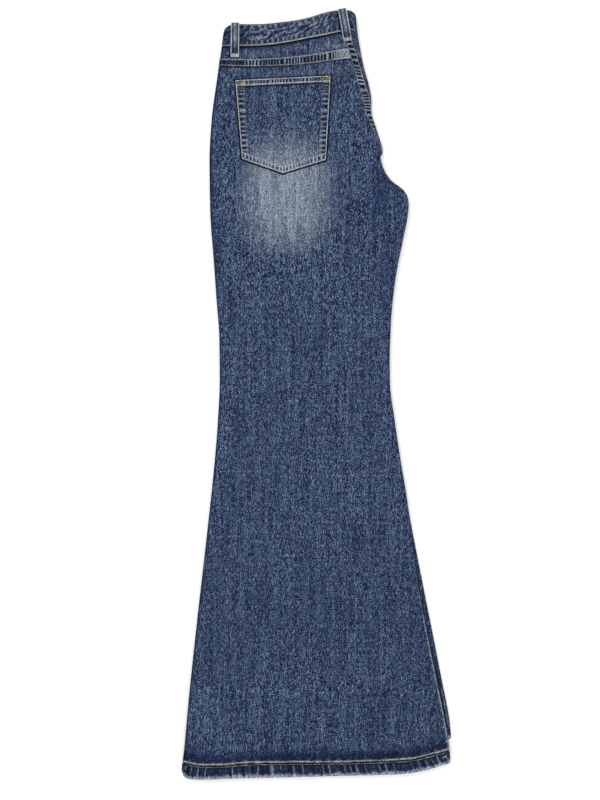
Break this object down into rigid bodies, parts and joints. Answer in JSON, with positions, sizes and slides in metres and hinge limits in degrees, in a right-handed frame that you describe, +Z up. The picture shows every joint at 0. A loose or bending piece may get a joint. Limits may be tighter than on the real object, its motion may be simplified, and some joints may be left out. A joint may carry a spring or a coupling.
{
  "type": "folded flared jeans",
  "caption": "Flared denim jeans folded in half lengthwise, fronts inside, lying flat with the left back, yoke, waistband and back pocket on top.",
  "frame": {"origin": "bottom centre of the bounding box of the folded garment, on the surface it lies on", "axes": "+Y toward the waist along the legs, +X toward the seat's fold and the inseams, +Z up out of the surface"},
  "size_m": [0.3836, 1.0949, 0.0154],
  "materials": {
    "leg_denim": "washed mid-blue cotton denim twill with fine vertical slubs",
    "worn_denim": "the same denim, worn paler at the waistband, yoke, loops and pocket",
    "inner_denim": "the folded fronts, of the same denim, with its paler wrong side",
    "hem_denim": "the same denim, turned up and puckered, with a worn pale edge",
    "thread": "beige and olive topstitching thread"
  },
  "bodies": {
    "root": {"left_back_panel": "leg_denim", "right_back_panel": "leg_denim", "left_yoke": "worn_denim", "right_yoke": "worn_denim", "left_front_panel": "inner_denim", "right_front_panel": "inner_denim", "left_hem": "hem_denim", "right_hem": "hem_denim", "waistband": "worn_denim", "left_back_pocket": "worn_denim", "side_belt_loop": "worn_denim", "centre_back_belt_loop": "worn_denim"}
  },
  "joints": []
}
